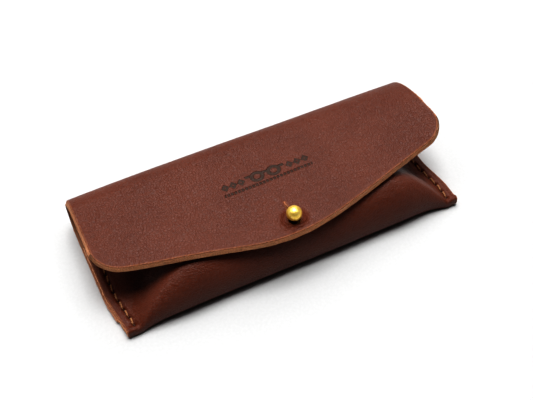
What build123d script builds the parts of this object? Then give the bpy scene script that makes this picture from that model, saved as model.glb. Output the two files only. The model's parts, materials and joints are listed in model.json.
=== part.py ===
"""Soft eyeglasses case: one leather blank folded into a pocket and a flap, closed by a ball stud.

The case lies on its back. X runs along it, +Y points from the bottom fold to the
top fold, and +Z up through the flap. The origin is the middle of its footprint.
Lengths are millimetres, and angles are degrees.

The leather wraps round in one piece: the back lies on the table, turns up at the
bottom fold into the front, and turns over at the top fold into the flap. Both ends
of the pocket are pinched shut by a seam. The top fold is where the leather bends
when the flap opens, so it is divided there into strips that turn on each other.
"""
from build123d import *
import math
import os

# Overall sizes
case_length = 170.0
case_depth = 71.0
leather = 2.2
half_length = case_length / 2

# Top fold: a half circle seen from the end, angles counted from +Y towards +Z
fold_radius = 13.55
fold_inner = fold_radius - leather
fold_y = case_depth / 2 - fold_radius
fold_strips = 4
joint_pitch = 180 / (fold_strips + 1)
first_joint = joint_pitch / 2 - 90
strip_gap = 2.0

# Flap: its outline lies in a plane over the pocket
flap_bottom = 2 * fold_radius - leather
flap_tip_y = -30.6
flap_edge_slope = 12.4
flap_tip_radius = 104.0
flap_corner_radius = 14.0
flap_apex_y = flap_tip_y - flap_tip_radius * (1 / math.cos(math.radians(flap_edge_slope)) - 1)
flap_shoulder_y = flap_apex_y + half_length * math.tan(math.radians(flap_edge_slope))

# Ball stud, screwed together through the front
stud_y = -24.1
stud_flange_radius = 4.0
stud_flange = 0.9
stud_neck_radius = 1.7
ball_radius = 3.5
ball_above_front = 6.7
stud_bore_radius = 1.55
stud_bore_depth = 5.0
screw_shank_radius = 1.5
screw_shank_reach = 4.5
screw_head_radius = 3.0
screw_head = 1.0
screw_slot_width = 0.8
screw_slot_depth = 0.5
edge_break = 0.25
panel_hole_radius = 1.75

# Pocket: its section swells from the flat seams to the full height at the middle
flap_clearance = 0.2
front_height = flap_bottom - stud_flange - flap_clearance
seam_height = 2 * leather
swell_half_length = 80.0
swell_run = 35.0
swell_power = 0.9
nose_shape = 0.7
mouth_y = 17.0
hollow_half_length = 78.5
swell_stations = [45.0, 52.0, 58.0, 64.0, 70.0, 75.0]

# Buttonhole: soft lips in a wider opening that the ball clears
button_opening_width = 9.5
button_opening_travel = 8.5
lip_clearance = 0.05
lip_hole_radius = 2.4
lip_slit_width = 0.6
lip_slit_reach = 10.9

# Saddle-stitched seams at both ends
seam_inset = 4.2
stitch_pitch = 5.0
stitch_count = 10
first_stitch_y = -31.5
stitch_hole_radius = 0.55
thread_radius = 0.4
thread_crossing_radius = 0.3
groove_width = 1.2
top_groove_depth = 0.5
back_groove_depth = 0.9
thread_gap = 0.05

seam_length = stitch_pitch * (stitch_count - 1)
seam_middle_y = first_stitch_y + seam_length / 2
seam_x = half_length - seam_inset


def section_height(x):
    """Height of the pocket's section at x: two layers at a seam, and the full swell past swell_run."""
    from_seam = max(swell_half_length - abs(x), 0.0)
    share = min(from_seam / swell_run, 1.0)
    swell = math.sin(math.pi / 2 * share**swell_power)
    return seam_height + (front_height - seam_height) * swell


def pocket_section(x, skin):
    """Face across the pocket at x, moved in from its outside by skin, open-ended past the mouth."""
    height = section_height(x)
    nose_y = nose_shape * height / 2 - case_depth / 2
    end_y = mouth_y + skin
    with BuildSketch(Plane.YZ.offset(x)) as section:
        with BuildLine():
            Line((end_y, skin), (nose_y, skin))
            EllipticalCenterArc(
                (nose_y, height / 2),
                nose_shape * height / 2 - skin * nose_shape,
                height / 2 - skin,
                start_angle=90,
                arc_size=180,
            )
            Line((nose_y, height - skin), (end_y, height - skin))
            Line((end_y, height - skin), (end_y, skin))
        make_face()
    return section.sketch


def both_ways(stations):
    """The stations and their mirror images, in order along X."""
    return [-x for x in reversed(stations)] + list(stations)


def fold_section(start, end):
    """Face across the leather of the top fold between two angles."""
    with BuildSketch(Plane.YZ) as section:
        with BuildLine():
            outside = CenterArc((fold_y, fold_radius), fold_radius, start, arc_size=end - start)
            inside = CenterArc((fold_y, fold_radius), fold_inner, start, arc_size=end - start)
            Line(outside @ 0, inside @ 0)
            Line(outside @ 1, inside @ 1)
        make_face()
    return section.sketch


def finish(builder, label):
    """Label a finished piece and write it to its own STEP file."""
    builder.part.label = label
    export_step(builder.part, f"parts/{label}.step")


os.makedirs("parts", exist_ok=True)

# Back, bottom fold and front of the case, up to the first bend of the top fold
outside_stations = both_ways(swell_stations + [hollow_half_length, swell_half_length, half_length])
inside_stations = both_ways(swell_stations + [hollow_half_length])
outside_sections = [pocket_section(x, 0) for x in outside_stations]
inside_sections = [pocket_section(x, leather) for x in inside_stations]

with BuildPart() as case_body:
    loft(outside_sections, ruled=True)
    loft(inside_sections, ruled=True, mode=Mode.SUBTRACT)
    with BuildSketch(Plane.YZ) as back_section:
        with Locations(((mouth_y + fold_y) / 2, leather / 2)):
            Rectangle(fold_y - mouth_y, leather)
    extrude(amount=half_length, both=True)
    extrude(fold_section(-90, first_joint - strip_gap), amount=half_length, both=True)
    with BuildSketch(Plane.XY.offset(front_height)) as panel_hole:
        with Locations((0, stud_y)):
            Circle(panel_hole_radius)
    extrude(amount=-2 * leather, mode=Mode.SUBTRACT)
    with BuildSketch(Plane.XY) as stitch_holes:
        with Locations((-seam_x, seam_middle_y), (seam_x, seam_middle_y)):
            with GridLocations(0, stitch_pitch, 1, stitch_count):
                Circle(stitch_hole_radius)
    extrude(amount=seam_height, mode=Mode.SUBTRACT)
    with BuildSketch(Plane.XY) as back_grooves:
        with Locations((-seam_x, seam_middle_y), (seam_x, seam_middle_y)):
            SlotCenterToCenter(seam_length, groove_width, rotation=90)
    extrude(amount=back_groove_depth, mode=Mode.SUBTRACT)
    with BuildSketch(Plane.XY.offset(seam_height)) as top_grooves:
        with Locations((-seam_x, seam_middle_y), (seam_x, seam_middle_y)):
            SlotCenterToCenter(seam_length, groove_width, rotation=90)
    extrude(amount=-top_groove_depth, mode=Mode.SUBTRACT)
finish(case_body, "case_body")

# Strips of leather across the top fold, each between two joints
for strip in range(fold_strips):
    strip_start = first_joint + strip * joint_pitch + strip_gap
    strip_end = first_joint + (strip + 1) * joint_pitch - strip_gap
    with BuildPart() as fold_strip:
        extrude(fold_section(strip_start, strip_end), amount=half_length, both=True)
    finish(fold_strip, f"fold_strip_{strip + 1}")

# Flap, with the opening that the stud's ball passes through
with BuildPart() as flap:
    with BuildSketch(Plane.XY.offset(flap_bottom)) as flap_outline:
        with BuildLine():
            Polyline(
                (-half_length, fold_y),
                (-half_length, flap_shoulder_y),
                (0, flap_apex_y),
                (half_length, flap_shoulder_y),
                (half_length, fold_y),
                close=True,
            )
        make_face()
        tip = flap_outline.vertices().sort_by(Axis.Y)[0]
        fillet(tip, radius=flap_tip_radius)
        shoulders = flap_outline.vertices().filter_by_position(
            Axis.Y, flap_shoulder_y - edge_break, flap_shoulder_y + edge_break
        )
        fillet(shoulders, radius=flap_corner_radius)
        with Locations((0, stud_y + button_opening_travel / 2)):
            SlotCenterToCenter(
                button_opening_travel, button_opening_width, rotation=90, mode=Mode.SUBTRACT
            )
    extrude(amount=leather)
    last_joint = first_joint + fold_strips * joint_pitch
    extrude(fold_section(last_joint + strip_gap, 90), amount=half_length, both=True)
finish(flap, "flap")

# Lips of the buttonhole: a round hole for the neck and a slit towards the top fold
with BuildPart() as buttonhole_lips:
    with BuildSketch(Plane.XY.offset(flap_bottom)) as lip_outline:
        with Locations((0, stud_y + button_opening_travel / 2)):
            SlotCenterToCenter(
                button_opening_travel, button_opening_width - 2 * lip_clearance, rotation=90
            )
        with Locations((0, stud_y)):
            Circle(lip_hole_radius, mode=Mode.SUBTRACT)
        with Locations((0, stud_y + lip_slit_reach / 2)):
            Rectangle(lip_slit_width, lip_slit_reach, mode=Mode.SUBTRACT)
    extrude(amount=leather)
finish(buttonhole_lips, "buttonhole_lips")

# One saddle-stitched thread at each end: a run on each face, joined through every hole
back_run_z = thread_gap + thread_radius
top_run_z = seam_height - top_groove_depth + thread_gap + thread_radius
for side, sign in (("left", -1), ("right", 1)):
    with BuildPart() as seam_thread:
        with BuildSketch(Plane.XZ.offset(-seam_middle_y)) as thread_runs:
            with Locations((sign * seam_x, back_run_z), (sign * seam_x, top_run_z)):
                Circle(thread_radius)
        extrude(amount=seam_length / 2 + thread_radius, both=True)
        with BuildSketch(Plane.XY.offset(back_run_z)) as thread_crossings:
            with Locations((sign * seam_x, seam_middle_y)):
                with GridLocations(0, stitch_pitch, 1, stitch_count):
                    Circle(thread_crossing_radius)
        extrude(amount=top_run_z - back_run_z)
    finish(seam_thread, f"seam_thread_{side}")

# Stud head: flange on the front, neck through the buttonhole, ball over the flap
ball_height = front_height + ball_above_front
neck_meets_ball = ball_height - math.sqrt(ball_radius**2 - stud_neck_radius**2)
with BuildPart() as stud_head:
    with BuildSketch(Plane.XZ.offset(-stud_y)) as stud_profile:
        with BuildLine():
            Polyline(
                (0, ball_height + ball_radius),
                (0, front_height),
                (stud_flange_radius, front_height),
                (stud_flange_radius, front_height + stud_flange),
                (stud_neck_radius, front_height + stud_flange),
                (stud_neck_radius, neck_meets_ball),
            )
            ThreePointArc(
                (stud_neck_radius, neck_meets_ball),
                (ball_radius, ball_height),
                (0, ball_height + ball_radius),
            )
        make_face()
    revolve(axis=Axis((0, stud_y, 0), (0, 0, 1)))
    flange_top = stud_head.edges().filter_by(GeomType.CIRCLE).group_by(Axis.Z)[1]
    flange_rim = flange_top.sort_by(SortBy.RADIUS)[-1]
    fillet(flange_rim, radius=edge_break)
    with BuildSketch(Plane.XY.offset(front_height)) as stud_bore:
        with Locations((0, stud_y)):
            Circle(stud_bore_radius)
    extrude(amount=stud_bore_depth, mode=Mode.SUBTRACT)
finish(stud_head, "stud_head")

# Stud screw, put in from inside the pocket
screw_seat = front_height - leather
with BuildPart() as stud_screw:
    with BuildSketch(Plane.XY.offset(screw_seat)) as screw_head_outline:
        with Locations((0, stud_y)):
            Circle(screw_head_radius)
    extrude(amount=-screw_head)
    fillet(stud_screw.edges().group_by(Axis.Z)[0], radius=edge_break)
    with BuildSketch(Plane.XY.offset(screw_seat)) as shank_outline:
        with Locations((0, stud_y)):
            Circle(screw_shank_radius)
    extrude(amount=leather + screw_shank_reach)
    chamfer(stud_screw.edges().group_by(Axis.Z)[-1], length=edge_break)
    with BuildSketch(Plane.XY.offset(screw_seat - screw_head)) as screw_slot:
        with Locations((0, stud_y)):
            Rectangle(2 * screw_head_radius, screw_slot_width)
    extrude(amount=screw_slot_depth, mode=Mode.SUBTRACT)
finish(stud_screw, "stud_screw")
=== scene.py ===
"""Looks of a leather eyeglasses case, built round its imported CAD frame.

The leather is one blank that runs from the pocket's mouth down the front, round the
bottom fold, along the back, over the top fold and out to the flap's tip. It is laid out
as grids of points, cut into one piece for each joint that it crosses. Shapes are worked
out in millimetres on the frame's axes, and meshes are made in metres.
"""
import json
import math

import bpy
import numpy as np
from mathutils import Matrix, Vector


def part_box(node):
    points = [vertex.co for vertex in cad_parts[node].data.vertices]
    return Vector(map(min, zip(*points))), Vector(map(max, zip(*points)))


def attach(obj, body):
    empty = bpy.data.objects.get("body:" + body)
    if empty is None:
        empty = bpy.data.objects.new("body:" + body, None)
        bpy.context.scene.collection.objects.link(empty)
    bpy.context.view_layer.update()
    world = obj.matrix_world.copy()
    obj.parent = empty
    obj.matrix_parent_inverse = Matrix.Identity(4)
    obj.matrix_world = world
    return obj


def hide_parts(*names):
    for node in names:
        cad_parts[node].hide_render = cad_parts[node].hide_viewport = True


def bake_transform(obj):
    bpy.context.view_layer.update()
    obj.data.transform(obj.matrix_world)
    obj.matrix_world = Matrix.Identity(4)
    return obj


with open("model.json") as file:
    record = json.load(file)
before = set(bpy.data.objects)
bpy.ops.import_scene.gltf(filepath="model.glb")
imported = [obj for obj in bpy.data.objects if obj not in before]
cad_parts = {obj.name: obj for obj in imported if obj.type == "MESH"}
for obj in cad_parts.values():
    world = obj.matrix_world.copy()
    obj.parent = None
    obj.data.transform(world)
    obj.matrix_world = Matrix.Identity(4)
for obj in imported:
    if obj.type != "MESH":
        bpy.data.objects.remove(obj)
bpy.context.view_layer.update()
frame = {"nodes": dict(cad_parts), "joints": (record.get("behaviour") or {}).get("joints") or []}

MM = 0.001


def box_mm(node):
    """Lowest and highest corner of a CAD node, in millimetres."""
    low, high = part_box(node)
    return np.array(low) / MM, np.array(high) / MM


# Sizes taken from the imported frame
case_low, case_high = box_mm("case_body")
flap_low, flap_high = box_mm("flap")
stud_low, stud_high = box_mm("stud_head")
thread_low, thread_high = box_mm("seam_thread_right")
pivots = {joint["name"]: np.array(joint["pos_m"]) / MM for joint in frame["joints"]}
FOLD_PARTS = len(pivots)
PART_TURN = 180 / FOLD_PARTS
CAD_THREAD_R = 0.4  # radius of the plain CAD thread
HALF = case_high[0]
BOTTOM_Y = case_low[1]
FRONT_Z = case_high[2]
FOLD_R = flap_high[2] / 2
pivot_r = (FOLD_R - pivots["flap_fold_1"][2]) / math.sin(math.radians(2 * PART_TURN))
FOLD_Y = pivots["flap_fold_3"][1] - pivot_r
TIP_Y = flap_low[1]
STUD_Y = (stud_low[1] + stud_high[1]) / 2
STUD_FOOT = stud_low[2]
STUD_TOP = stud_high[2]
SEAM_X = (thread_low[0] + thread_high[0]) / 2
SEAM_START = thread_low[1] + CAD_THREAD_R

# Sizes of the leather that the frame's boxes don't give
LEATHER = 2.2
SEAM_Z = 2 * LEATHER
SWELL_HALF = 80.0  # half the length of the pocket between its flat sewn ends
MOUTH_Y = 17.0  # cut edge of the front, under the flap
UNDER_Y = -25.0  # where the front's grid meets the back's, underneath
EDGE_SLOPE = math.radians(12.4)  # slope of the flap's front edge, away from its round tip
TIP_R = 104.0
CORNER_R = 14.0
HOLE_R = 2.75
HOLE_Y = STUD_Y - 0.45
SLIT_Y = STUD_Y + 10.9
SLIT_HALF = 1.15
SLIT_TIP_HALF = 0.12
STITCH = 5.0
STITCHES = 10
EDGE_ROUND = 0.35  # radius worn on the grain side's edge
NO_EDGE = 9.0  # a distance that counts as far from any cut edge

# Sizes of the stud
BALL_R = 3.5
FLANGE_R = 4.0
COLLAR_R = 2.1
NECK_R = 1.7


def smooth(t):
    """Smoothstep of t, held to 0 and 1 outside them."""
    t = np.clip(t, 0, 1)
    return t * t * (3 - 2 * t)


def ripple(u, v, scale, seed):
    """Smooth repeatable noise from -1 to 1 over two coordinates, with features of the given size."""
    table = np.random.RandomState(seed).rand(128, 128) * 2 - 1
    u, v = np.asarray(u) / scale + 1000.3, np.asarray(v) / scale + 1000.7
    i, j = np.floor(u).astype(int), np.floor(v).astype(int)
    su, sv = smooth(u - i), smooth(v - j)
    i, j = i % 127, j % 127
    low = table[i, j] * (1 - su) + table[i + 1, j] * su
    high = table[i, j + 1] * (1 - su) + table[i + 1, j + 1] * su
    return low * (1 - sv) + high * sv


def unit(v):
    """Vectors scaled to length 1."""
    return v / np.maximum(np.linalg.norm(v, axis=-1, keepdims=True), 1e-12)


# ---------------------------------------------------------------- the flap's outline
TIP_END = TIP_R * math.sin(EDGE_SLOPE)
APEX_Y = TIP_Y - TIP_R * (1 / math.cos(EDGE_SLOPE) - 1)
SHOULDER_Y = APEX_Y + HALF * math.tan(EDGE_SLOPE)
CORNER_X = HALF - CORNER_R
CORNER_REACH = CORNER_R * math.tan((math.pi / 2 - EDGE_SLOPE) / 2)
CORNER_Y = SHOULDER_Y + CORNER_REACH
CORNER_START = CORNER_X + CORNER_R * math.sin(EDGE_SLOPE)


def outline_y(x):
    """The flap's front edge at x."""
    a = np.abs(x)
    tip = TIP_Y + TIP_R - np.sqrt(TIP_R**2 - np.minimum(a, TIP_END) ** 2)
    line = APEX_Y + a * math.tan(EDGE_SLOPE)
    over = np.clip(a - CORNER_X, 0, CORNER_R)
    corner = CORNER_Y - np.sqrt(CORNER_R**2 - over**2)
    return np.where(a < TIP_END, tip, np.where(a < CORNER_START, line, corner))


def edge_distance(x, y):
    """Distance from a point of the flap to its cut edge."""
    side = HALF - np.abs(x)
    front = (y - outline_y(x)) * math.cos(EDGE_SLOPE)
    round_x, round_y = np.abs(x) - CORNER_X, y - CORNER_Y
    corner = CORNER_R - np.hypot(round_x, round_y)
    in_corner = (np.abs(x) > CORNER_START) & (round_y < 0)
    return np.maximum(np.where(in_corner, corner, np.minimum(side, front)), 0)


def edge_direction(x, y):
    """Level direction from a point of the flap to its nearest cut edge."""
    side = np.sign(x)
    round_x, round_y = np.abs(x) - CORNER_X, np.minimum(y - CORNER_Y, 0)
    in_corner = (np.abs(x) > CORNER_START) & (y < CORNER_Y)
    to_front = (y - outline_y(x)) * math.cos(EDGE_SLOPE) < HALF - np.abs(x)
    lean = np.minimum(np.abs(x), TIP_END) / TIP_R
    along_x = np.where(in_corner, round_x, np.where(to_front, lean, 1.0))
    along_y = np.where(in_corner, round_y, np.where(to_front, -np.sqrt(1 - lean**2), 0.0))
    return unit(np.stack([side * along_x, along_y, 0 * x], -1))


def hole_half(y):
    """Half the width of the buttonhole at y: a round hole that opens into a slit."""
    round_part = np.sqrt(np.maximum(HOLE_R**2 - (y - HOLE_Y) ** 2, 0))
    join_y = HOLE_Y + math.sqrt(HOLE_R**2 - SLIT_HALF**2)
    share = np.clip((SLIT_Y - y) / (SLIT_Y - join_y), 0, 1)
    slit = SLIT_TIP_HALF * np.sqrt(share) + (SLIT_HALF - SLIT_TIP_HALF) * share**1.4
    slit = np.where(y < SLIT_Y, slit, 0)
    return np.where(y < join_y, round_part, slit)


# ---------------------------------------------------------------- shapes of the leather
def round_over(d):
    """How far the surface drops within EDGE_ROUND of a cut edge."""
    short = np.clip(EDGE_ROUND - d, 0, EDGE_ROUND)
    return EDGE_ROUND - np.sqrt(EDGE_ROUND**2 - short**2)


def nose_height(x):
    """Height of the pocket over its bottom fold: it stands up steeply from the seams, most at the right."""
    share = np.clip((SWELL_HALF - np.abs(x)) / np.where(x < 0, 40.0, 29.0), 0, 1)
    share = np.sqrt(share**2 + 0.0009) - 0.03
    swell = np.sin(np.pi / 2 * np.clip(share / 0.97, 0, 1) ** 0.9)
    return SEAM_Z + (FRONT_Z - SEAM_Z) * swell


def mouth_height(x):
    """Height of the pocket at its mouth, where the front sinks more gently to the seams."""
    power = 2.75 + 0.55 * np.tanh(x / 25.0)
    share = np.minimum(np.abs(x) / SWELL_HALF, 1)
    swell = np.cos(np.pi / 2 * share**power) ** 2
    return SEAM_Z + (FRONT_Z - SEAM_Z) * swell


def lift(x, y):
    """How far the top fold and the flap stand above a plain half circle and a plane."""
    right, left = np.clip(x / HALF, 0, 1), np.clip(-x / HALF, 0, 1)
    flare = 4.3 * right**2.2 * smooth((FOLD_Y + 10 - y) / 23.0)
    droop = left**4 * (1.8 - 1.2 * smooth((FOLD_Y - y) / 25.0)) + 0.5 * right**3 * smooth((y - 18) / 8.0)
    return flare - droop


def flap_height(x, y):
    """Height of the flap's grain side."""
    out = smooth((FOLD_Y - y) / 26.0)
    tip = -0.5 * smooth((STUD_Y + 1 - y) / 8.0) * np.exp(-((x / 45.0) ** 2))
    wave = 0.22 * ripple(x, y, 31.0, 3) * out + 0.05 * ripple(x, y, 9.0, 4) * out
    height = 2 * FOLD_R + lift(x, y) + tip + wave
    reach = np.hypot(x, y - STUD_Y)
    return height - 0.3 * np.exp(-(((reach - 6.0) / 2.6) ** 2)) + 0.25 * np.exp(-(((reach - 3.6) / 1.4) ** 2))


def creases(x, y):
    """Height of the creases round the stud's neck and of the raised lips of the slit."""
    reach, turn = np.hypot(x, y - STUD_Y), np.arctan2(y - STUD_Y, x)
    side = 0.45 + 0.55 * smooth(-x / 4.0 + 0.3)
    rings = np.cos(2 * np.pi * (reach + 0.35 * ripple(3 * turn, reach, 1.0, 5)) / 1.25)
    rings = 0.13 * rings * side * np.exp(-(((reach - 6.2) / 1.9) ** 2))
    slit = np.exp(-(((y - SLIT_Y + 2.5) / 3.2) ** 2))
    lips = 0.34 * np.exp(-(((x + 1.1) / 0.9) ** 2)) + 0.15 * np.exp(-(((x - 1.2) / 0.9) ** 2))
    return rings + lips * slit


def settle_case(points):
    """The sewn ends of the pocket are drawn in at the corners, and at the right towards the mouth."""
    x, y, z = np.moveaxis(points, -1, 0)
    right, left = smooth((x - 40) / 40.0), smooth((-x - 40) / 40.0)
    inset = 1.5 + 2.9 * smooth((y + 26) / 22.0)
    inset = inset * (1 - smooth((y - 3) / 20.0))
    outset = 1.6 - 2.7 * smooth((y + 36) / 26.0)
    pinch = 1.1 * smooth((np.abs(x) - 55) / 30.0) * (1 - smooth((y + 36) / 16.0))
    return np.stack([x - inset * right + outset * left, y + pinch, z], -1)


def settle_wrap(points):
    """The same for the back, and the fold's left end stands out a little."""
    x, y, z = np.moveaxis(points, -1, 0)
    settled = settle_case(points)
    high = smooth((z - 3) / 12.0)[..., None]
    left = smooth((-x - 40) / 40.0)
    side = x - 1.1 * left + 0.9 * smooth((x - 60) / 25.0) * np.exp(-(((y + 2) / 7.0) ** 2))
    back = 2.3 * smooth((x - 20) / 58.0) - 1.1 * np.exp(-(((x + 16) / 26.0) ** 2)) + smooth((-x - 60) / 25.0)
    free = 1 - np.exp(-((x**2 + (y - STUD_Y) ** 2) / 30.0))
    folded = np.stack([side, y + back * free * smooth((14 - y) / 30.0), z], -1)
    return settled * (1 - high) + folded * high


def stitch_dents(x, y, depth):
    """How far the seam's stitches pull the leather down, and how much painted shade each place gets in the
    holes and groove, from 0 to 1.
    """
    from_seam = np.abs(np.abs(x) - SEAM_X)
    end = SEAM_START + STITCH * (STITCHES - 1)
    along = smooth((y - SEAM_START + 1.2) / 1.2) * smooth((end + 1.2 - y) / 1.2)
    nearest = np.clip(np.round((y - SEAM_START) / STITCH), 0, STITCHES - 1)
    from_hole = np.hypot(from_seam, y - SEAM_START - STITCH * nearest)
    groove = 0.5 * np.exp(-((from_seam / 0.8) ** 2)) * along
    ridge = -0.16 * np.exp(-(((from_seam - 1.8) / 0.9) ** 2)) * along
    hole = np.exp(-((from_hole / 0.75) ** 2))
    return depth * (groove + ridge) + 0.9 * depth * hole, np.maximum(hole, 0.55 * groove * 2)


def grid_normals(points):
    """Outward unit normals of a grid whose rows follow the blank and whose columns follow X."""
    return unit(np.cross(np.gradient(points, axis=0), np.gradient(points, axis=1)))


def arc_lengths(points):
    """Distance along each column from the first row."""
    steps = np.linalg.norm(np.diff(points, axis=0), axis=-1)
    return np.vstack([np.zeros(points.shape[1]), np.cumsum(steps, axis=0)])


def both_sides(xs):
    """Columns from the left end to the right, from those of the right half."""
    return np.concatenate([-xs[::-1], xs[1:]])


# Columns, from the middle out to a cut edge, closer together in the middle and at the corners
FINE_HALF = 23.0
corner_turns = np.linspace(EDGE_SLOPE, math.pi / 2, 31)[1:]
corner_xs = CORNER_X + CORNER_R * np.sin(corner_turns)
middle_xs = np.linspace(0, FINE_HALF, 52)
wrap_xs = both_sides(np.concatenate([middle_xs, np.linspace(FINE_HALF, CORNER_START, 58)[1:], corner_xs]))
front_xs = both_sides(np.concatenate([np.linspace(0, CORNER_START, 74), corner_xs]))
centre = len(wrap_xs) // 2

# Rows of the part that wraps round: the back, the top fold and the flap
FOLD_STEPS = 12
back_ys = np.linspace(UNDER_Y, FOLD_Y, 34)
fold_turns = np.radians(np.linspace(-90, 90, FOLD_PARTS * FOLD_STEPS + 1))
hole_ys = HOLE_Y + HOLE_R * np.cos(np.linspace(math.radians(40), math.pi, 13))
MARK_ROWS = (7.5, -3.5)
flap_ys = np.concatenate(
    [
        np.linspace(FOLD_Y, MARK_ROWS[0], 15),
        np.linspace(MARK_ROWS[0], MARK_ROWS[1], 25)[1:],
        np.linspace(MARK_ROWS[1], SLIT_Y, 13)[1:],
        np.linspace(SLIT_Y, hole_ys[0], 18)[1:],
        hole_ys[1:],
        np.linspace(hole_ys[-1], TIP_Y + 0.6, 8)[1:],
        TIP_Y + np.array([0.35, 0.2, 0.08, 0.0]),
    ]
)
rows_back = len(back_ys)
rows_fold = rows_back + FOLD_PARTS * FOLD_STEPS
HOLE_SPREAD = 9.0  # how far out the columns make room for the hole


def wrap_grid():
    """Grain side of the back, fold and flap, before its fine relief."""
    x, y = np.meshgrid(wrap_xs, back_ys)
    back = np.stack([x, y, 0 * x], -1)
    x, turn = np.meshgrid(wrap_xs, fold_turns)
    y = FOLD_Y + FOLD_R * np.cos(turn)
    rise = lift(x, y) * smooth(np.sin(turn))
    fold = np.stack([x, y, FOLD_R + FOLD_R * np.sin(turn) + rise], -1)
    x, share = np.meshgrid(wrap_xs, (FOLD_Y - flap_ys) / (FOLD_Y - TIP_Y))
    y = FOLD_Y - share * (FOLD_Y - outline_y(x))
    half_open = hole_half(y)
    near = np.clip(1 - np.abs(x) / HOLE_SPREAD, 0, 1)
    x = x + np.where(x > 0, 1, -1) * half_open * near
    x[:, centre] = -half_open[:, centre]
    return np.concatenate([back, fold[1:], np.stack([x, y, flap_height(x, y)], -1)[1:]])


def wrap_shape():
    """Outer and inner grids of the back, fold and flap, their places on the blank, and the painted shade of
    their stitch holes and groove.
    """
    grid = wrap_grid()
    normals = grid_normals(grid)
    on_flap = (np.arange(len(grid)) >= rows_fold)[:, None]
    x, y, z = np.moveaxis(grid, -1, 0)
    along = arc_lengths(grid) + UNDER_Y
    cut_d = np.where(on_flap, edge_distance(x, y), HALF - np.abs(x))
    by_hole = on_flap & (y < SLIT_Y) & (y > HOLE_Y - HOLE_R)
    hole_d = np.where(by_hole, np.maximum(np.abs(x) - hole_half(y), 0), NO_EDGE)
    any_d = np.minimum(cut_d, hole_d)

    on_back = (1 - smooth((along - FOLD_Y + 6) / 6.0)) * (z < 1)
    dents, dark = stitch_dents(x, y, 0.8)
    on_fold = smooth((along - FOLD_Y) / 8.0) * (1 - smooth((along - FOLD_Y - 35) / 8.0))
    sink = round_over(any_d) + dents * on_back
    sink = sink - on_fold * (0.1 * ripple(x, along, 24.0, 6) + 0.02 * ripple(x, along, 3.0, 7))
    sink = sink - on_flap * creases(x, y) * smooth(cut_d / 4.0)
    outer = grid - normals * sink[..., None]

    # the flesh side is napped, and the cut edge slants out under the grain side
    rise = 0.6 * round_over(any_d) + 0.05 * ripple(x, along, 1.3, 8) * on_flap
    side = np.stack([np.sign(x), 0 * x, 0 * x], -1)
    side = np.where(on_flap[..., None], edge_direction(x, y), side)
    slant = np.clip(1 - cut_d / 3.0, 0, 1) ** 2
    inner = grid + normals * (rise - LEATHER)[..., None] + side * slant[..., None]
    return settle_wrap(outer), settle_wrap(inner), np.stack([x, along, any_d], -1), dark * on_back


# Rows of the pocket's front: from the mouth to the bottom fold, round it and under
front_shares = np.concatenate([np.linspace(0, 0.012, 4), np.linspace(0.02, 1, 92)])
nose_turns = np.radians(np.linspace(90, 270, 31))[1:]
under_shares = np.linspace(0, 1, 8)[1:]
SEAM_REACH = 1.54  # depth of the bottom fold's curve at the flat sewn ends
DRAWN_IN = 1.75  # how far the middle of the bottom fold is drawn in
THINNEST = 0.04  # least radius of the inner surface's curve
RIDGE_POWER = 2 / 1.75  # power of a superellipse: 1 would be a circle


def pocket_path(xs, skin):
    """Points of the pocket's front, moved in by skin from its outside."""
    height, mouth = nose_height(xs), mouth_height(xs)
    full = (height - SEAM_Z) / (FRONT_Z - SEAM_Z)
    reach_up, reach_low = SEAM_REACH + 10.5 * full, SEAM_REACH + 4.5 * full
    widest = height * (0.5 - 0.2 * full)
    nose_y = BOTTOM_Y + DRAWN_IN * full + reach_up
    half_up = np.maximum(height - widest - skin, THINNEST)
    half_low = np.maximum(widest - skin, THINNEST)
    flatter = 1 - 0.3 * (1 - full)
    deep_up = np.maximum(reach_up - skin, THINNEST) * flatter
    deep_low = np.maximum(reach_low - skin, THINNEST) * flatter
    front_y = nose_y - deep_up
    low_y = front_y + deep_low
    rows = []
    for share in front_shares:
        row_y = MOUTH_Y + (nose_y - MOUTH_Y) * share
        sunk = smooth((row_y - nose_y) / np.where(xs < 0, 15.0, 22.0))
        rows.append(np.stack([xs, row_y, widest + half_up + (mouth - height) * sunk], -1))
    for turn in nose_turns:
        up, out = math.sin(turn), -math.cos(turn)
        if turn < math.pi:
            row_y, row_z = nose_y - deep_up * out**RIDGE_POWER, widest + half_up * up**RIDGE_POWER
        else:
            row_y, row_z = front_y + deep_low * (1 - out), widest + half_low * up
        rows.append(np.stack([xs, row_y, row_z], -1))
    for share in under_shares:
        rows.append(np.stack([xs, low_y + (UNDER_Y - low_y) * share, widest - half_low], -1))
    return np.array(rows)


def front_shape():
    """Outer and inner grids of the pocket's front, their places on the blank, and the painted shade of their
    stitch holes and groove.
    """
    grid = pocket_path(front_xs, 0)
    x, y, z = np.moveaxis(grid, -1, 0)
    along = arc_lengths(grid)
    along = UNDER_Y - (along[-1] - along)
    cut_d = np.minimum(HALF - np.abs(x), np.where(z > 2, MOUTH_Y - y, NO_EDGE))
    on_top = smooth((z - 2.5) / 1.5)
    dents, dark = stitch_dents(x, y, 1.0)
    curl = smooth((np.abs(x) - 79.0) / 3.0) * np.exp(-(((y + 33.2) / 1.2) ** 2))
    soft = 0.3 * ripple(x, along, 26.0, 11) + 0.08 * ripple(x, along, 7.0, 12)
    seat = 0.5 * np.exp(-((np.hypot(x, y - STUD_Y) / 6.0) ** 2))
    relief = dents - curl - seat - soft * (1 - smooth((np.abs(x) - 70) / 8.0))
    sink = round_over(cut_d) + relief * on_top
    outer = settle_case(grid - grid_normals(grid) * sink[..., None])
    inner = settle_case(pocket_path(front_xs, LEATHER - 0.02))
    return outer, inner, np.stack([x, along, cut_d], -1), dark * on_top


wrap = wrap_shape()
front = front_shape()


# ---------------------------------------------------------------- meshes
def link(obj):
    """Adds an object to the scene."""
    bpy.context.scene.collection.objects.link(obj)
    return obj


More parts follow.
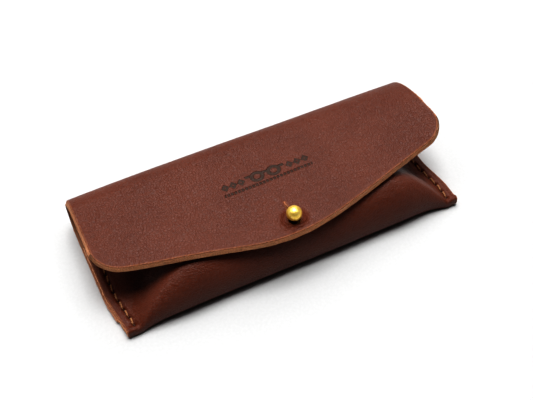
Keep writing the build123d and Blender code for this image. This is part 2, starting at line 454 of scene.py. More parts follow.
def mesh_object(name, points, faces, slots, materials):
    """A mesh object from points in millimetres, with a material slot for each face."""
    mesh = bpy.data.meshes.new(name)
    mesh.from_pydata([tuple(p) for p in points * MM], [], [tuple(int(i) for i in f) for f in faces])
    mesh.polygons.foreach_set("material_index", np.asarray(slots, np.int32))
    mesh.polygons.foreach_set("use_smooth", np.ones(len(faces), bool))
    for material in materials:
        mesh.materials.append(material)
    mesh.update()
    return link(bpy.data.objects.new(name, mesh))


def quads(ids):
    """Faces of a grid of point numbers, outward where rows follow the blank and columns X."""
    return np.stack([ids[:-1, :-1], ids[1:, :-1], ids[1:, 1:], ids[:-1, 1:]], -1).reshape(-1, 4)


def mark_sharp(mesh, pairs, total):
    """Marks the edges between the given pairs of points as sharp."""
    wanted = np.sort(pairs, axis=1)
    edges = np.zeros(len(mesh.edges) * 2, np.int32)
    mesh.edges.foreach_get("vertices", edges)
    edges = np.sort(edges.reshape(-1, 2), axis=1).astype(np.int64)
    is_sharp = np.isin(edges[:, 0] * total + edges[:, 1], wanted[:, 0] * total + wanted[:, 1])
    mesh.attributes.new("sharp_edge", "BOOLEAN", "EDGE").data.foreach_set("value", is_sharp)


def outer_rim(loop, shape, free_ends, outward):
    """Squares up the rim at a piece's two sides, and returns how much each of its points may bulge.

    The cut along a joint doesn't bulge, so that two pieces meet there without a gap.
    """
    rows, cols = shape
    row, col = loop // cols, loop % cols
    at_side = (col == 0) | (col == cols - 1)
    first, last = row == 0, row == rows - 1
    at_free = (first & free_ends[0]) | (last & free_ends[1])
    plain = at_side & ~at_free
    outward[plain] = np.where(col[plain, None] == 0, (-1.0, 0, 0), (1.0, 0, 0))
    return np.where((first | last) & ~at_free & ~at_side, 0.0, 1.0)


RIM_RINGS = 3
MIRROR = (-1, 1, 1)


def leather_shell(name, outer, inner, blank, dark, free_ends, split=None):
    """A closed piece of leather between two grids.

    free_ends says which of the first and last row are cut edges. split is (column, first row, last row)
    of an opening, along which the column's points are doubled.
    """
    rows, cols = outer.shape[:2]
    count = rows * cols
    out_n, in_n = grid_normals(outer), -grid_normals(inner)
    left = np.arange(count).reshape(rows, cols)
    loops = [np.concatenate([left[0], left[1:, -1], left[-1, -2::-1], left[-2:0:-1, 0]])]
    points, normals, maps = [], [], []
    if split:
        col, first, last = split
        opened = np.arange(first + 1, last)
        right = left.copy()
        right[opened, col] = count + np.arange(len(opened))
        grain_faces = np.concatenate([quads(left[:, : col + 1]), quads(right[:, col:])])
        loops.append(np.concatenate([left[first : last + 1, col], right[last - 1 : first : -1, col]]))
    else:
        grain_faces = quads(left)
    for grid, grid_n in ((outer, out_n), (inner, in_n)):
        points.append(grid.reshape(-1, 3))
        normals.append(grid_n.reshape(-1, 3))
        maps.append(blank.reshape(-1, 3))
        if split:
            points.append(grid[opened, col] * MIRROR)
            normals.append(grid_n[opened, col])
            maps.append(blank[opened, col])
    points, normals, maps = (np.concatenate(parts) for parts in (points, normals, maps))
    outer_count = len(points) // 2
    flesh_faces = grain_faces[:, ::-1] + outer_count
    faces = [grain_faces, flesh_faces]
    slots = [np.zeros(len(grain_faces)), np.ones(len(flesh_faces))]
    face_normals = [normals[grain_faces], normals[flesh_faces]]
    sharp = []
    for number, loop in enumerate(loops):
        top, low = points[loop], points[loop + outer_count]
        travel = np.roll(top, -1, 0) - np.roll(top, 1, 0)
        outward = unit(np.cross(normals[loop], travel))
        bulge = outer_rim(loop, (rows, cols), free_ends, outward) if number == 0 else np.ones(len(loop))
        rings = [loop]
        base = len(points)
        for k in range(1, RIM_RINGS + 1):
            t = k / (RIM_RINGS + 1)
            middle = top * (1 - t) + low * t
            rough = 0.34 * ripple(middle[:, 0] + middle[:, 2], middle[:, 1], 1.3, 20 + k)
            rough = rough + 0.14 * ripple(middle[:, 0], middle[:, 1] + middle[:, 2], 0.45, 30 + k)
            push = bulge * (0.12 * math.sin(math.pi * t) + rough * (0.35 + t))
            points = np.concatenate([points, middle + outward * push[:, None]])
            normals = np.concatenate([normals, outward])
            maps = np.concatenate([maps, maps[loop] * (1, 1, 0) + (0, 0, -t)])
            rings.append(base + np.arange(len(loop)) + (k - 1) * len(loop))
        rings.append(loop + outer_count)
        rim_normals = unit(outward + 1.1 * normals[loop] * bulge[:, None])
        order = np.arange(len(loop))
        turned = np.roll(order, -1)
        for upper, lower in zip(rings[:-1], rings[1:]):
            rim = np.stack([upper, np.roll(upper, -1), np.roll(lower, -1), lower], -1)
            faces.append(rim)
            slots.append(np.full(len(rim), 2))
            face_normals.append(rim_normals[np.stack([order, turned, turned, order], -1)])
        for ring in (rings[0], rings[-1]):
            sharp.append(np.stack([ring, np.roll(ring, -1)], -1))
    materials = [leather_grain, leather_flesh, leather_edge]
    obj = mesh_object(name, points, np.concatenate(faces), np.concatenate(slots), materials)
    mesh = obj.data
    total = len(points)
    mark_sharp(mesh, np.concatenate(sharp), total)
    # painted shade: the stitch holes and the seam's groove are darkened on the grain side
    painted_recess_shade = np.zeros(total, np.float32)
    painted_recess_shade[: dark.size] = dark.ravel()
    # painted shade: the rims of the buttonhole's cut edge are marked to be coloured nearly black
    if split:
        painted_recess_shade[total - RIM_RINGS * len(loops[1]) :] = 1.0
    mesh.attributes.new("painted_recess_shade", "FLOAT", "POINT").data.foreach_set("value", painted_recess_shade)
    where = mesh.attributes.new("blank", "FLOAT_VECTOR", "POINT")
    where.data.foreach_set("vector", maps.astype(np.float32).ravel())
    mesh.normals_split_custom_set(np.concatenate(face_normals).reshape(-1, 3).tolist())
    return obj


# ---------------------------------------------------------------- materials
class Nodes:
    """A short way to wire a node tree."""

    def __init__(self, name):
        self.material = bpy.data.materials.new(name)
        self.material.use_nodes = True
        self.tree = self.material.node_tree
        self.shader = self.tree.nodes["Principled BSDF"]

    def add(self, kind, outputs=0, props=None, **inputs):
        """Adds a node, sets or wires its inputs, and returns the chosen output."""
        node = self.tree.nodes.new(kind)
        for key, value in (props or {}).items():
            setattr(node, key, value)
        for key, value in inputs.items():
            numbered = key[0] == "i" and key[1:].isdigit()
            self.put(node.inputs[int(key[1:]) if numbered else key.replace("_", " ")], value)
        return node.outputs[outputs]

    def put(self, socket, value):
        """Wires an output to a socket, or sets the socket to a plain value."""
        if isinstance(value, bpy.types.NodeSocket):
            self.tree.links.new(value, socket)
        else:
            socket.default_value = value

    def attribute(self, name, output):
        """A mesh attribute: output 1 is its vector and 2 its number."""
        return self.add("ShaderNodeAttribute", outputs=output, props={"attribute_name": name})

    def math(self, operation, a, b=0.0):
        """A math node."""
        return self.add("ShaderNodeMath", props={"operation": operation}, i0=a, i1=b)

    def scaled(self, vector, factors):
        """A vector times a factor for each axis."""
        return self.add("ShaderNodeVectorMath", props={"operation": "MULTIPLY"}, i0=vector, i1=factors)

    def noise(self, vector, scale, detail=2.0, rough=0.5, distortion=0.0):
        """Noise from 0 to 1, with scale features to the millimetre."""
        inputs = {"Vector": vector, "Scale": scale, "Detail": detail}
        return self.add("ShaderNodeTexNoise", Roughness=rough, Distortion=distortion, **inputs)

    def span(self, value, low, high, to_low=0.0, to_high=1.0):
        """value from low..high to to_low..to_high, held at the ends."""
        return self.add(
            "ShaderNodeMapRange", props={"interpolation_type": "SMOOTHSTEP"},
            i0=value, i1=low, i2=high, i3=to_low, i4=to_high,
        )

    def mix(self, factor, a, b):
        """A colour mix."""
        return self.add("ShaderNodeMix", outputs=2, props={"data_type": "RGBA"}, i0=factor, i6=a, i7=b)

    def bump(self, height, distance):
        """A bump of height, with distance in metres."""
        return self.add("ShaderNodeBump", Height=height, Distance=distance)

    def set(self, **inputs):
        """Sets or wires inputs of the main shader, and returns the material."""
        for key, value in inputs.items():
            self.put(self.shader.inputs[key.replace("_", " ")], value)
        return self.material


def colour(r, g, b):
    """An opaque linear colour."""
    return (r, g, b, 1.0)


def blank_parts(n):
    """A point's x, distance along the blank and distance from a cut edge, or minus the depth in a rim."""
    split = n.tree.nodes.new("ShaderNodeSeparateXYZ")
    n.put(split.inputs[0], n.attribute("blank", 1))
    return split.outputs[0], split.outputs[1], split.outputs[2]


FLAP_START = FOLD_Y + math.pi * FOLD_R
MARK_S = FLAP_START + FOLD_Y - 2.6  # the mark's middle, as a distance along the blank
STUD_S = FLAP_START + FOLD_Y - STUD_Y  # the stud's, in the same way
LENS_X = 4.2
LENS_UP = 1.2
LENS_R = 2.1
ROW_START = 10.2
ROW_END = 21.9
DIAMOND_STEP = 3.9
DASH_STEP = 1.75
SOFT = 0.1  # half the width over which the rows fade out


def mark_mask(n, x, s):
    """A plain stamped mark: a pair of spectacles between rows of diamonds, over a broken rule."""
    across = n.math("SUBTRACT", x, -0.5)
    up = n.math("SUBTRACT", MARK_S, s)
    mirrored = n.math("ABSOLUTE", across)

    def bar(u, v, half_u, half_v):
        """1 inside a box around u = v = 0."""
        du = n.math("SUBTRACT", n.math("ABSOLUTE", u), half_u)
        dv = n.math("SUBTRACT", n.math("ABSOLUTE", v), half_v)
        return n.span(n.math("MAXIMUM", du, dv), 0.12, -0.12)

    def from_middle(value, step):
        """Signed distance to the middle of the nearest of a row of equal steps."""
        share = n.math("SUBTRACT", n.math("FRACT", n.math("DIVIDE", value, step)), 0.5)
        return n.math("MULTIPLY", share, step)

    wide = n.math("MULTIPLY", n.math("SUBTRACT", mirrored, LENS_X), 0.82)
    lens_y = n.math("SUBTRACT", up, LENS_UP)
    radius = n.math("SQRT", n.math("ADD", n.math("MULTIPLY", wide, wide), n.math("MULTIPLY", lens_y, lens_y)))
    ring = n.span(n.math("ABSOLUTE", n.math("SUBTRACT", radius, LENS_R)), 0.8, 0.62)
    bridge = bar(mirrored, n.math("SUBTRACT", up, 2.3), 1.2, 0.6)
    arm = bar(n.math("SUBTRACT", mirrored, 2 * LENS_X), n.math("SUBTRACT", up, 2.5), 1.2, 0.6)
    before_end = n.span(mirrored, ROW_END + SOFT, ROW_END - SOFT)
    sideways = n.math("ABSOLUTE", from_middle(n.math("SUBTRACT", mirrored, ROW_START), DIAMOND_STEP))
    diamond = n.math("ADD", sideways, n.math("ABSOLUTE", lens_y))
    diamond = n.math("MULTIPLY", n.span(diamond, 2.0, 1.8), n.span(diamond, 0.45, 0.6))
    in_row = n.math("MULTIPLY", n.span(mirrored, ROW_START - SOFT, ROW_START + SOFT), before_end)
    diamond = n.math("MULTIPLY", diamond, in_row)
    dash = bar(from_middle(across, DASH_STEP), n.math("ADD", up, 2.9), 0.55, 0.62)
    mask = ring
    for part in (bridge, arm, diamond, n.math("MULTIPLY", dash, before_end)):
        mask = n.math("MAXIMUM", mask, part)
    return mask


def grain_material():
    """The leather's outside: waxed chestnut, with fine pores, faint wrinkles, and edges worn lighter, partly
    a painted highlight.
    """
    n = Nodes("leather_grain")
    x, s, edge = blank_parts(n)
    place = n.add("ShaderNodeCombineXYZ", X=x, Y=s)
    cloud = n.noise(place, 0.035, 3, 0.55)
    mottle = n.noise(place, 0.55, 3, 0.6)
    pore = n.add("ShaderNodeTexVoronoi", Vector=place, Scale=1.15, Randomness=1.0)
    drift = n.add("ShaderNodeTexNoise", outputs=1, Vector=place, Scale=0.5, Detail=2.0)
    drifted = n.add("ShaderNodeVectorMath", props={"operation": "ADD"}, i0=place, i1=drift)
    nearest = {"feature": "DISTANCE_TO_EDGE"}
    cell = n.add("ShaderNodeTexVoronoi", props=nearest, Vector=drifted, Scale=0.85, Randomness=1.0)
    wrinkle = n.span(cell, 0.0, 0.16)
    tone = n.mix(n.span(cloud, 0.35, 0.68), colour(0.061, 0.0110, 0.0034), colour(0.081, 0.0168, 0.0062))
    tone = n.mix(n.span(mottle, 0.3, 0.72), tone, n.mix(0.55, tone, colour(0.100, 0.0265, 0.0130)))
    tone = n.mix(n.span(pore, 0.30, 0.05, 0.0, 0.6), tone, colour(0.045, 0.014, 0.008))
    tone = n.mix(n.span(wrinkle, 0.9, 0.1, 0.0, 0.4), tone, colour(0.055, 0.017, 0.009))
    # the grain is drawn tight round the stud, where the wax clears and the colour warms
    below = n.math("SUBTRACT", s, STUD_S)
    reach = n.math("SQRT", n.math("ADD", n.math("MULTIPLY", x, x), n.math("MULTIPLY", below, below)))
    reach = n.math("ADD", reach, n.math("MULTIPLY", n.math("SUBTRACT", mottle, 0.5), 2.4))
    tight = n.span(reach, 8.2, 4.6)
    tone = n.mix(n.math("MULTIPLY", tight, 0.75), tone, colour(0.088, 0.017, 0.005))
    rings = n.math("SINE", n.math("MULTIPLY", reach, 5.2))
    rings = n.math("MULTIPLY", rings, n.math("MULTIPLY", tight, n.span(reach, 3.4, 4.8)))
    mark = mark_mask(n, x, s)
    burnt = n.math("MULTIPLY", mark, n.span(mottle, 0.2, 0.6, 0.7, 0.95))
    tone = n.mix(burnt, tone, colour(0.026, 0.016, 0.011))
    # lighter tan near each cut edge: partly worn grain, partly a painted highlight
    worn_edge_and_highlight = n.math("MULTIPLY", n.span(edge, 0.95, 0.15), n.span(n.noise(place, 1.4, 3, 0.6), 0.3, 0.6))
    tone = n.mix(n.math("MULTIPLY", worn_edge_and_highlight, 0.55), tone, colour(0.33, 0.12, 0.045))
    # painted shade: the stitch holes and the seam's groove darken nearly to black
    painted_recess_shade = n.attribute("painted_recess_shade", 2)
    tone = n.mix(n.span(painted_recess_shade, 0.2, 0.9, 0.0, 0.85), tone, colour(0.010, 0.004, 0.002))
    gloss = n.span(mottle, 0.25, 0.75, 0.36, 0.47)
    gloss = n.math("ADD", gloss, n.math("MULTIPLY", mark, 0.2))
    gloss = n.math("ADD", gloss, n.math("MULTIPLY", pore, 0.06))
    height = n.math("MULTIPLY", pore, 0.35)
    height = n.math("ADD", height, n.math("MULTIPLY", wrinkle, 0.4))
    height = n.math("ADD", height, n.math("MULTIPLY", n.noise(place, 3.2, 3, 0.6), 0.45))
    height = n.math("ADD", height, n.math("MULTIPLY", mottle, 0.6))
    height = n.math("ADD", height, n.math("MULTIPLY", rings, 0.9))
    height = n.math("SUBTRACT", height, n.math("MULTIPLY", mark, 3.0))
    relief = n.bump(height, 0.00026)
    return n.set(Base_Color=tone, Roughness=gloss, Normal=relief, IOR=1.5, Specular_IOR_Level=0.22)


def flesh_material():
    """The leather's inside: napped, unfinished."""
    n = Nodes("leather_flesh")
    x, s, _ = blank_parts(n)
    place = n.add("ShaderNodeCombineXYZ", X=x, Y=s)
    nap = n.noise(place, 2.6, 4, 0.7, 0.4)
    patch = n.noise(place, 0.09, 3, 0.6)
    tone = n.mix(n.span(patch, 0.3, 0.7), colour(0.17, 0.062, 0.028), colour(0.235, 0.095, 0.046))
    tone = n.mix(n.span(nap, 0.3, 0.7, 0.0, 0.5), tone, colour(0.3, 0.14, 0.075))
    return n.set(
        Base_Color=tone, Roughness=n.span(nap, 0.2, 0.8, 0.82, 0.96), Normal=n.bump(nap, 0.0004),
        Sheen_Weight=0.35, Sheen_Roughness=0.5, Sheen_Tint=colour(1.0, 0.8, 0.65),
    )


def edge_material():
    """The raw cut edge: tan fibres, darker where the dye soaked in from each face, and nearly black with
    painted shade inside the buttonhole.
    """
    n = Nodes("leather_edge")
    x, s, depth = blank_parts(n)
    place = n.add("ShaderNodeCombineXYZ", X=x, Y=s)
    stretched = n.scaled(n.attribute("blank", 1), (1.0, 1.0, 3.5))
    fibre = n.noise(stretched, 1.9, 4, 0.7, 0.3)
    speck = n.noise(place, 3.6, 2, 0.6)
    tone = n.mix(n.span(fibre, 0.32, 0.68), colour(0.48, 0.155, 0.052), colour(0.86, 0.37, 0.165))
    tone = n.mix(n.span(speck, 0.62, 0.74, 0.0, 0.6), tone, colour(0.9, 0.55, 0.3))
    tone = n.mix(n.span(speck, 0.38, 0.26, 0.0, 0.6), tone, colour(0.16, 0.05, 0.018))
    from_face = n.math("ABSOLUTE", n.math("ADD", depth, 0.5))
    tone = n.mix(n.span(from_face, 0.42, 0.52, 0.0, 0.4), tone, colour(0.2, 0.06, 0.02))
    # painted shade: the buttonhole's cut edge turns nearly black
    inside = n.attribute("painted_recess_shade", 2)
    tone = n.mix(n.span(inside, 0.1, 0.8, 0.0, 0.95), tone, colour(0.03, 0.009, 0.004))
    height = n.math("ADD", fibre, n.math("MULTIPLY", speck, 0.6))
    return n.set(
        Base_Color=tone, Roughness=n.span(fibre, 0.2, 0.8, 0.72, 0.9), Normal=n.bump(height, 0.0004),
        Sheen_Weight=0.2, Sheen_Roughness=0.5, Sheen_Tint=colour(1.0, 0.8, 0.6),
    )


def object_place(n):
    """Object coordinates in millimetres."""
    metres = n.add("ShaderNodeTexCoord", outputs=3)
    return n.add("ShaderNodeVectorMath", props={"operation": "SCALE"}, i0=metres, Scale=1 / MM)


def thread_material():
    """Waxed linen thread."""
    n = Nodes("linen_thread")
    place = object_place(n)
    ply = n.noise(place, 3.0, 3, 0.6)
    fine = n.noise(place, 9.0, 2, 0.6)
    tone = n.mix(n.span(ply, 0.3, 0.7), colour(0.17, 0.062, 0.018), colour(0.32, 0.135, 0.045))
    tone = n.mix(n.span(fine, 0.5, 0.75, 0.0, 0.5), tone, colour(0.6, 0.36, 0.17))
    return n.set(
        Base_Color=tone, Roughness=n.span(fine, 0.2, 0.8, 0.5, 0.72), Normal=n.bump(fine, 0.00008),
        Sheen_Weight=0.2, Sheen_Roughness=0.4,
    )


def fibre_material():
    """Loose fibres on the cut edges."""
    n = Nodes("leather_fibre")
    place = object_place(n)
    shade = n.noise(place, 1.2, 2, 0.5)
    tone = n.mix(n.span(shade, 0.35, 0.65), colour(0.5, 0.17, 0.06), colour(0.9, 0.44, 0.21))
    rough = n.span(shade, 0.3, 0.7, 0.75, 0.9)
    return n.set(Base_Color=tone, Roughness=rough, Normal=n.bump(shade, 0.00005))


NECK_Z = 2 * FOLD_R  # height of the flap round the stud


def brass_material(name, tarnish):
    """Turned brass with fine scratches and small dull spots; below the flap's height it is rougher and
    coloured dark brown, which is painted shade.
    """
    n = Nodes(name)
    place = object_place(n)
    spot = n.noise(place, 0.8, 3, 0.6)
    scratch = n.noise(n.scaled(place, (0.5, 0.5, 9.0)), 2.0, 3, 0.6)
    pit = n.add("ShaderNodeTexVoronoi", Vector=place, Scale=0.75, Randomness=1.0)
    tone = n.mix(n.span(spot, 0.35, 0.7), colour(0.88, 0.57, 0.10), colour(0.96, 0.70, 0.19))
    tone = n.mix(n.span(pit, 0.3, 0.12, 0.0, tarnish), tone, colour(0.33, 0.2, 0.06))
    rough = n.math("ADD", n.span(spot, 0.3, 0.7, 0.3, 0.4), n.math("MULTIPLY", n.span(pit, 0.3, 0.12), 0.2))
    height = n.math("ADD", n.math("MULTIPLY", scratch, 0.5), n.math("MULTIPLY", n.span(pit, 0.25, 0.1), -1.0))
    place_z = n.add("ShaderNodeSeparateXYZ", outputs=2, i0=place)
    # painted shade: everything below the flap's height, the neck, flange and screw, is coloured dark brown
    low = n.span(place_z, NECK_Z + 0.4, NECK_Z - 0.3)
    tone = n.mix(low, tone, colour(0.085, 0.045, 0.014))
    rough = n.math("ADD", rough, n.math("MULTIPLY", low, 0.3))
    return n.set(Base_Color=tone, Metallic=0.75, Roughness=rough, Normal=n.bump(height, 0.00002))


def floor_material():
    """Pale matt paper."""
    n = Nodes("pale_floor")
    place = object_place(n)
    tooth = n.noise(place, 0.8, 3, 0.6)
    tone = n.mix(n.span(tooth, 0.3, 0.7), colour(0.38, 0.38, 0.38), colour(0.40, 0.40, 0.40))
    return n.set(Base_Color=tone, Roughness=0.9, Specular_IOR_Level=0.1)


leather_grain = grain_material()
leather_flesh = flesh_material()
leather_edge = edge_material()
linen = thread_material()
fibres = fibre_material()
brass = brass_material("brass_polished", 0.55)
brass_dull = brass_material("brass_turned", 0.8)

# ---------------------------------------------------------------- leather pieces
leather_front = leather_shell("leather_front", *front, (True, False))
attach(leather_front, "case")


def inner_point(degrees):
    """A point on the inside of the top fold, in metres."""
    turn = math.radians(degrees)
    inner_r = FOLD_R - LEATHER
    return (0, (FOLD_Y + inner_r * math.cos(turn)) * MM, (FOLD_R + inner_r * math.sin(turn)) * MM)


cuts = [0] + [rows_back - 1 + FOLD_STEPS * k for k in range(1, FOLD_PARTS)] + [len(wrap[0]) - 1]
slit_row = rows_fold + int(np.argmin(np.abs(flap_ys[1:] - SLIT_Y)))
hole_row = rows_fold + int(np.argmin(np.abs(flap_ys[1:] - (HOLE_Y - HOLE_R))))
names = ["leather_back", "leather_fold_2", "leather_fold_3", "leather_fold_4", "leather_flap"]
for number, name in enumerate(names):
    last = number == len(names) - 1
    split = (centre, slit_row - cuts[number], hole_row - cuts[number]) if last else None
    rows = slice(cuts[number], cuts[number + 1] + 1)
    piece = leather_shell(name, *(grid[rows] for grid in wrap), (False, last), split)
    start, end = inner_point(PART_TURN * number - 90), inner_point(PART_TURN * (number + 1) - 90)
    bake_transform(piece)
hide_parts("case_body")
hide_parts("fold_strip_1")
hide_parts("fold_strip_2")
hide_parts("fold_strip_3")
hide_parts("fold_strip_4")
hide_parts("flap", "buttonhole_lips")


# ---------------------------------------------------------------- tubes: thread and loose fibres
class Tubes:
    """Gathers closed tubes into one mesh."""

    def __init__(self, sides):
        self.sides = sides
        self.points, self.faces, self.count = [], [], 0

    def add(self, path, radii):
        """A tube along a path, closed at both ends."""
        path, radii = np.asarray(path, float), np.asarray(radii, float)
        along = unit(np.gradient(path, axis=0))
        side = unit(np.cross(along[0], (0.31, 0.17, 0.93)))
        turns = np.arange(self.sides) * 2 * math.pi / self.sides
        rings = []
        for p, t, r in zip(path, along, radii):
            side = unit(side - t * (side @ t))
            other = np.cross(t, side)
            rings.append(p + r * (np.cos(turns)[:, None] * side + np.sin(turns)[:, None] * other))
        ids = self.count + np.arange(len(path) * self.sides).reshape(len(path), self.sides)
        turned = np.roll(ids, -1, axis=1)
        self.faces.extend(np.stack([ids[:-1], turned[:-1], turned[1:], ids[1:]], -1).reshape(-1, 4).tolist())
        self.faces.append(ids[0][::-1].tolist())
        self.faces.append(ids[-1].tolist())
        self.points.append(np.concatenate(rings))
        self.count += len(path) * self.sides

    def make(self, name, material):
        """The mesh object."""
        return mesh_object(name, np.concatenate(self.points), self.faces, [0] * len(self.faces), [material])


PLY_R = 0.22  # radius of one ply of the thread
HOLE_DEPTH = 1.1  # how deep each stitch ends in its hole


def stitch(tubes, start, end, height, face):
    """One slanted stitch of two-ply thread between two holes. face is 1 on top and -1 below."""
    t = np.linspace(0, 1, 25)
    middle = start[None] * (1 - t[:, None]) + end[None] * t[:, None]
    risen = smooth(np.minimum(t, 1 - t) / 0.16)
    middle[:, 2] += face * (height * risen - HOLE_DEPTH * (1 - risen))
    along = unit(np.gradient(middle, axis=0))
    across = unit(np.cross(along, (0, 0, 1.0)))
    up = np.cross(across, along)
    for phase in (0.0, math.pi):
        twist = phase + 2 * math.pi * t * 1.9
        path = middle + 0.19 * (np.cos(twist)[:, None] * across + np.sin(twist)[:, None] * up)
        tubes.add(settle_case(path), PLY_R - 0.03 * np.abs(2 * t - 1))


SLANT = 0.3
TOP_Z = SEAM_Z - 0.32  # the stitches lie in dents, a little below the leather's top
LOW_Z = 0.62  # and above its underside
for side, sign in (("left", -1), ("right", 1)):
    tubes = Tubes(8)
    draw = np.random.RandomState(40 + sign)
    seam_x = sign * SEAM_X
    for k in range(STITCHES - 1):
        hole, next_hole = SEAM_START + STITCH * k, SEAM_START + STITCH * (k + 1)
        wobble = draw.uniform(-0.08, 0.08, 4)
        start = np.array([seam_x - SLANT + wobble[0], hole + 0.55, TOP_Z])
        end = np.array([seam_x + SLANT + wobble[1], next_hole - 0.55, TOP_Z])
        stitch(tubes, start, end, 0.34, 1)
        start = np.array([seam_x + SLANT + wobble[2], hole + 0.35, LOW_Z])
        end = np.array([seam_x - SLANT + wobble[3], next_hole - 0.35, LOW_Z])
        stitch(tubes, start, end, 0.02, -1)
    thread = tubes.make(f"saddle_stitch_{side}", linen)
    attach(thread, "case")
    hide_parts(f"seam_thread_{side}")


def fuzz(name, body, roots, outward, amount, seed):
    """Loose fibres at the cut edge: roots are points along it, outward the directions they leave in."""
    draw = np.random.RandomState(seed)
    tubes = Tubes(4)
    for _ in range(amount):
        at = draw.uniform(0, len(roots) - 1.001)
        i, f = int(at), at - int(at)
        root = roots[i] * (1 - f) + roots[i + 1] * f
        out = outward[i] * (1 - f) + outward[i + 1] * f
        depth = draw.beta(2.2, 1.1)
        root = root - (0, 0, LEATHER * 0.98 * depth) - out * 0.12
        length = 0.28 + 0.95 * draw.beta(1.1, 4.0)
        lean = draw.normal(0, 0.55, 3)
        direction = out * draw.uniform(0.4, 1.0) + np.array([0, 0, -draw.uniform(0.1, 1.0)])
        direction = unit(direction + lean * (1, 1, 0.5))
        bend = draw.normal(0, 0.35, 3)
        t = np.linspace(0, 1, 5)[:, None]
        path = root + length * (direction * t + bend * t**2)
        tubes.add(path, draw.uniform(0.07, 0.15) * (1 - 0.75 * t[:, 0]))
    piece = tubes.make(name, fibres)
    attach(piece, body)


wrap_out, front_out = wrap[0], front[0]
edge_out = unit(np.cross(np.gradient(wrap_out[-1], axis=0), (0, 0, 1.0)))
fuzz("flap_edge_fibres", "flap", wrap_out[-1], edge_out, 1200, 51)
for side, col, direction in (("left", 0, -1.0), ("right", -1, 1.0)):
    flap_side = wrap_out[rows_fold:, col][::-1]
    case_side = front_out[: len(front_shares), col]
    fuzz(f"flap_{side}_fibres", "flap", flap_side, np.tile((direction, 0, 0), (len(flap_side), 1)), 60, 52)
    fuzz(f"case_{side}_fibres", "case", case_side, np.tile((direction, 0, 0), (len(case_side), 1)), 110, 53)


# ---------------------------------------------------------------- the ball stud
LATHE_SIDES = 96


def lathe(name, profile, material):
    """A closed turned piece about the stud's axis, from (radius, height) pairs, bottom to top."""
    turns = np.arange(LATHE_SIDES) * 2 * math.pi / LATHE_SIDES
    across, back = np.cos(turns), np.sin(turns)
    points = [np.stack([r * across, STUD_Y + r * back, 0 * turns + z], -1) for r, z in profile]
    points = np.concatenate(points)
    ids = np.arange(len(points)).reshape(len(profile), LATHE_SIDES)
    turned = np.roll(ids, -1, axis=1)
    faces = np.stack([ids[:-1], turned[:-1], turned[1:], ids[1:]], -1).reshape(-1, 4).tolist()
    foot, peak = len(points), len(points) + 1
    points = np.concatenate([points, [(0, STUD_Y, profile[0][1]), (0, STUD_Y, profile[-1][1] + 0.002)]])
    for k in range(LATHE_SIDES):
        following = (k + 1) % LATHE_SIDES
        faces.append([foot, int(ids[0][following]), int(ids[0][k])])
        faces.append([peak, int(ids[-1][k]), int(ids[-1][following])])
    return mesh_object(name, points, faces, [0] * len(faces), [material])


def arc(radius, z, middle_r, turns):
    """Points of a profile's arc, by the angle from straight down."""
    return [(middle_r + radius * math.sin(a), z - radius * math.cos(a)) for a in turns]


ball_z = STUD_TOP - BALL_R
neck_turn = math.asin(NECK_R / BALL_R)
profile = [(FLANGE_R - 0.1, STUD_FOOT), (FLANGE_R, STUD_FOOT + 0.08)]
profile += arc(0.25, STUD_FOOT + 0.65, FLANGE_R - 0.25, np.linspace(math.pi / 2, math.pi, 6))
profile += [(COLLAR_R, STUD_FOOT + 0.9)]
profile += arc(0.4, STUD_FOOT + 1.3, COLLAR_R, -np.linspace(0.2, math.pi / 2, 6))
profile += [(NECK_R, ball_z - BALL_R * math.cos(neck_turn) - 0.1)]
profile += arc(BALL_R, ball_z, 0, np.linspace(neck_turn, math.pi - 0.02, 60))
stud = lathe("brass_ball_stud", profile, brass)
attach(stud, "case")
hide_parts("stud_head")

screw = frame["nodes"]["stud_screw"]
screw.data.materials.clear()
screw.data.materials.append(brass_dull)

# ---------------------------------------------------------------- floor, light and camera
FLOOR_HALF = 8.0
FLOOR_Z = -0.15
floor_corners = np.array([(-1, -1, 0), (1, -1, 0), (1, 1, 0), (-1, 1, 0)], float) * FLOOR_HALF / MM
floor = mesh_object("floor", floor_corners + (0, 0, FLOOR_Z), [(0, 1, 2, 3)], [0], [floor_material()])


def area_light(name, location, size, power):
    """A square soft light that faces the case."""
    data = bpy.data.lights.new(name, "AREA")
    data.shape = "SQUARE"
    data.size = size
    data.energy = power
    lamp = link(bpy.data.objects.new(name, data))
    lamp.location = location
    lamp.rotation_mode = "QUATERNION"
    lamp.rotation_quaternion = (-Vector(location)).to_track_quat("-Z", "Y")


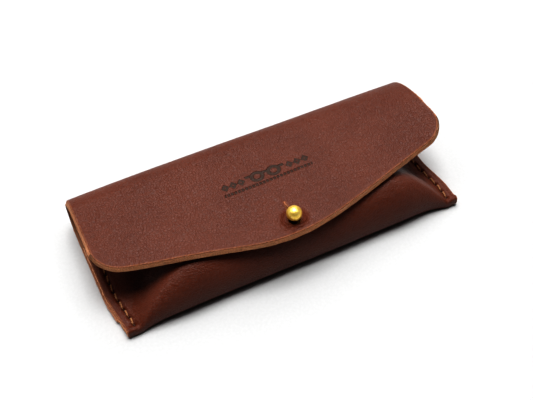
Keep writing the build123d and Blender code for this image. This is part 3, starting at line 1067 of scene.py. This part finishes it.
def studio_world():
    """Faint light, most from overhead, and a pale band at the horizon that shows behind a side view."""
    world = bpy.data.worlds.new("studio")
    bpy.context.scene.world = world
    world.use_nodes = True
    nodes, links = world.node_tree.nodes, world.node_tree.links

    def ranged(value, low, high, to_low, to_high):
        """value from low..high to to_low..to_high, held at the ends."""
        node = nodes.new("ShaderNodeMapRange")
        node.interpolation_type = "SMOOTHSTEP"
        links.new(value, node.inputs[0])
        for number, setting in enumerate((low, high, to_low, to_high), 1):
            node.inputs[number].default_value = setting
        return node.outputs[0]

    direction = nodes.new("ShaderNodeTexCoord").outputs["Generated"]
    facing = nodes.new("ShaderNodeVectorMath")
    facing.operation = "DOT_PRODUCT"
    facing.inputs[1].default_value = (0.12, 0.12, 1.0)
    links.new(direction, facing.inputs[0])
    parts = nodes.new("ShaderNodeSeparateXYZ")
    links.new(direction, parts.inputs[0])
    off_level = nodes.new("ShaderNodeMath")
    off_level.operation = "ABSOLUTE"
    links.new(parts.outputs["Z"], off_level.inputs[0])
    brighter = nodes.new("ShaderNodeMath")
    brighter.operation = "MAXIMUM"
    links.new(ranged(facing.outputs["Value"], 0.3, 1.0, 0.010, 0.061), brighter.inputs[0])
    links.new(ranged(off_level.outputs[0], 0.04, 0.16, 0.6, 0.0), brighter.inputs[1])
    background = nodes["Background"]
    background.inputs["Color"].default_value = (1, 1, 1, 1)
    links.new(brighter.outputs[0], background.inputs["Strength"])


# Where the camera stands, in metres, and how it is turned, in radians
CAMERA_AT = (-0.1087, -0.2165, 0.3347)
CAMERA_TURN = -0.4596
CAMERA_TILT = 0.9284
CAMERA_ROLL = 0.0114
CAMERA_LENS = 58.60


def studio_camera():
    """The scene's camera."""
    level = Vector((math.cos(CAMERA_TURN), math.sin(CAMERA_TURN), 0))
    ahead = Vector((-math.sin(CAMERA_TURN), math.cos(CAMERA_TURN), 0))
    forward = ahead * math.cos(CAMERA_TILT) - Vector((0, 0, math.sin(CAMERA_TILT)))
    plumb = level.cross(forward)
    sideways = level * math.cos(CAMERA_ROLL) + plumb * math.sin(CAMERA_ROLL)
    upward = plumb * math.cos(CAMERA_ROLL) - level * math.sin(CAMERA_ROLL)
    data = bpy.data.cameras.new("camera")
    data.sensor_width = 36.0
    data.lens = CAMERA_LENS
    data.clip_start = 0.01
    data.clip_end = 10.0
    camera = link(bpy.data.objects.new("camera", data))
    turned = Matrix((sideways, upward, -forward)).transposed().to_4x4()
    camera.matrix_world = Matrix.Translation(CAMERA_AT) @ turned
    bpy.context.scene.camera = camera


area_light("left_light", (-1.38, 1.08, 2.43), 1.2, 18.0)
area_light("right_light", (1.35, -0.06, 2.67), 1.2, 18.0)
area_light("back_light", (0.60, 1.80, 2.76), 2.4, 68.0)
area_light("top_light", (0.06, 0.45, 3.10), 1.5, 113.0)
studio_world()
bpy.context.scene.view_settings.view_transform = "Standard"
bpy.context.scene.view_settings.look = "High Contrast"
studio_camera()
